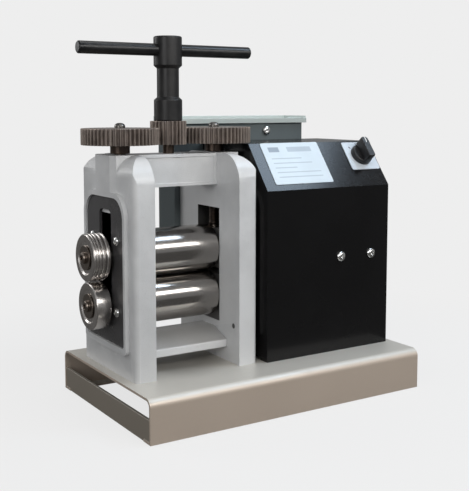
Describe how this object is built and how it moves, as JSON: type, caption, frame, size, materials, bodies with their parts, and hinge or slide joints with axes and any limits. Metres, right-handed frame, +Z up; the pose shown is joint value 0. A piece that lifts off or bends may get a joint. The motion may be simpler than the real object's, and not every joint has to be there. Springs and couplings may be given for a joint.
{
  "type": "jewellers rolling mill",
  "caption": "Bench rolling mill for jewellers with a motor drive: two polished rolls between cast frames, geared screw-down with a tee handle, side rolls for wire, on a bent sheet base.",
  "frame": {"origin": "centre of the base's footprint on the bench, which is also the centre of its four bench holes", "axes": "+Z up, +X along the base from the side rolls to the motor housing, -Y towards the operator"},
  "size_m": [0.4228, 0.2625, 0.461],
  "materials": {
    "grey_paint": "satin paint on cast iron",
    "painted_screw": "countersunk, painted over",
    "stainless_sheet": "brushed stainless sheet",
    "zinc_steel": "bright zinc plate",
    "dark_cover": "dark grey plate",
    "housing_black": "semi-gloss black powder coat",
    "box_sheet": "dark blue-grey sheet",
    "tray_sheet": "bare sheet",
    "plate_metal": "satin plate",
    "black_plastic": "black",
    "roll_steel": "ground and polished",
    "side_roll_steel": "turned steel",
    "screw_steel": "turned steel",
    "gear_steel": "cut teeth, oiled",
    "black_oxide": "black oxide steel",
    "cast_block": "machined",
    "bronze": "bronze",
    "motor_cast": "as cast",
    "stator_iron": "laminated",
    "capacitor_can": "plain can",
    "clamp_steel": "zinc plate"
  },
  "bodies": {
    "frame": {"base_channel": "stainless_sheet", "base_end_bars": "stainless_sheet", "bearing_cover_bolts": "zinc_steel", "bridge_screws": "painted_screw", "cable_gland": "black_plastic", "capacitor_clamp": "clamp_steel", "dome_screws": "zinc_steel", "electrics_box": "box_sheet", "frame_foot_bolts": "zinc_steel", "gearbox_bolts": "zinc_steel", "gearbox_case": "motor_cast", "gearbox_cover": "motor_cast", "housing_base_screws": "zinc_steel", "left_bearing_cover": "dark_cover", "left_lower_bearing_block": "cast_block", "left_side_frame": "grey_paint", "lift_springs": "zinc_steel", "lower_bridge": "grey_paint", "lower_bushes": "bronze", "motor_case": "motor_cast", "motor_end_shield": "motor_cast", "motor_housing": "housing_black", "motor_stator": "stator_iron", "name_plate": "plate_metal", "pinion_stud": "screw_steel", "right_bearing_cover": "dark_cover", "right_lower_bearing_block": "cast_block", "right_side_frame": "grey_paint", "run_capacitor": "capacitor_can", "switch_body": "black_plastic", "switch_plate": "plate_metal", "terminal_block": "black_plastic", "top_bridge": "grey_paint", "tray_lid": "tray_sheet"},
    "carriage": {"left_upper_bearing_block": "cast_block", "right_upper_bearing_block": "cast_block", "upper_bushes": "bronze", "thrust_pads": "screw_steel"},
    "left_screw": {"left_pressure_screw": "screw_steel", "left_screw_gear": "gear_steel", "left_gear_nut": "screw_steel"},
    "right_screw": {"right_pressure_screw": "screw_steel", "right_screw_gear": "gear_steel", "right_gear_nut": "screw_steel"},
    "handle": {"centre_pinion": "gear_steel", "tee_handle_hub": "black_oxide", "tee_handle_bar": "black_oxide", "handle_grub_screws": "black_oxide"},
    "upper_roll": {"upper_roller": "roll_steel", "upper_side_roller": "side_roll_steel", "upper_side_roller_screw": "screw_steel", "upper_roll_gear": "gear_steel"},
    "lower_roll": {"lower_roller": "roll_steel", "lower_side_roller": "side_roll_steel", "lower_side_roller_screw": "screw_steel", "lower_roll_gear": "gear_steel", "output_gear": "gear_steel"},
    "layshaft": {"layshaft_gears": "gear_steel"},
    "rotor": {"motor_rotor": "stator_iron"},
    "knob": {"switch_knob": "black_plastic"}
  },
  "joints": [
    {"name": "handle_spin", "type": "hinge", "parent": "frame", "child": "handle", "pos_m": [-0.1028, 0.01, 0.34], "axis": [0, 0, 1], "range_deg": [-2534, 0]},
    {"name": "carriage_slide", "type": "slide", "parent": "frame", "child": "carriage", "axis": [0, 0, 1], "range_m": [0, 0.0065], "deforming": ["lift_springs"]},
    {"name": "left_screw_turn", "type": "hinge", "parent": "carriage", "child": "left_screw", "pos_m": [-0.1693, 0.01, 0.3], "axis": [0, 0, 1], "range_deg": [0, 1169.6]},
    {"name": "right_screw_turn", "type": "hinge", "parent": "carriage", "child": "right_screw", "pos_m": [-0.0363, 0.01, 0.3], "axis": [0, 0, 1], "range_deg": [0, 1169.6]},
    {"name": "motor_spin", "type": "hinge", "parent": "frame", "child": "rotor", "pos_m": [0.14, 0.01, 0.134], "axis": [1, 0, 0], "continuous": true},
    {"name": "layshaft_spin", "type": "hinge", "parent": "frame", "child": "layshaft", "pos_m": [0.074, 0.01, 0.194], "axis": [1, 0, 0], "continuous": true},
    {"name": "lower_roll_spin", "type": "hinge", "parent": "frame", "child": "lower_roll", "pos_m": [-0.1028, 0.01, 0.134], "axis": [1, 0, 0], "continuous": true},
    {"name": "upper_roll_spin", "type": "hinge", "parent": "carriage", "child": "upper_roll", "pos_m": [-0.1028, 0.01, 0.1934], "axis": [1, 0, 0], "continuous": true},
    {"name": "switch_turn", "type": "hinge", "parent": "frame", "child": "knob", "pos_m": [0.164, -0.04342, 0.30707], "axis": [0, -0.7908, 0.612], "range_deg": [-45, 45]}
  ],
  "couplings": [
    {"joint": "carriage_slide", "follows": "handle_spin", "m_per_rad": -0.00014691},
    {"joint": "left_screw_turn", "follows": "handle_spin", "ratio": -0.46154},
    {"joint": "right_screw_turn", "follows": "handle_spin", "ratio": -0.46154},
    {"joint": "layshaft_spin", "follows": "motor_spin", "ratio": -0.2},
    {"joint": "lower_roll_spin", "follows": "motor_spin", "ratio": 0.05},
    {"joint": "upper_roll_spin", "follows": "motor_spin", "ratio": -0.05}
  ]
}
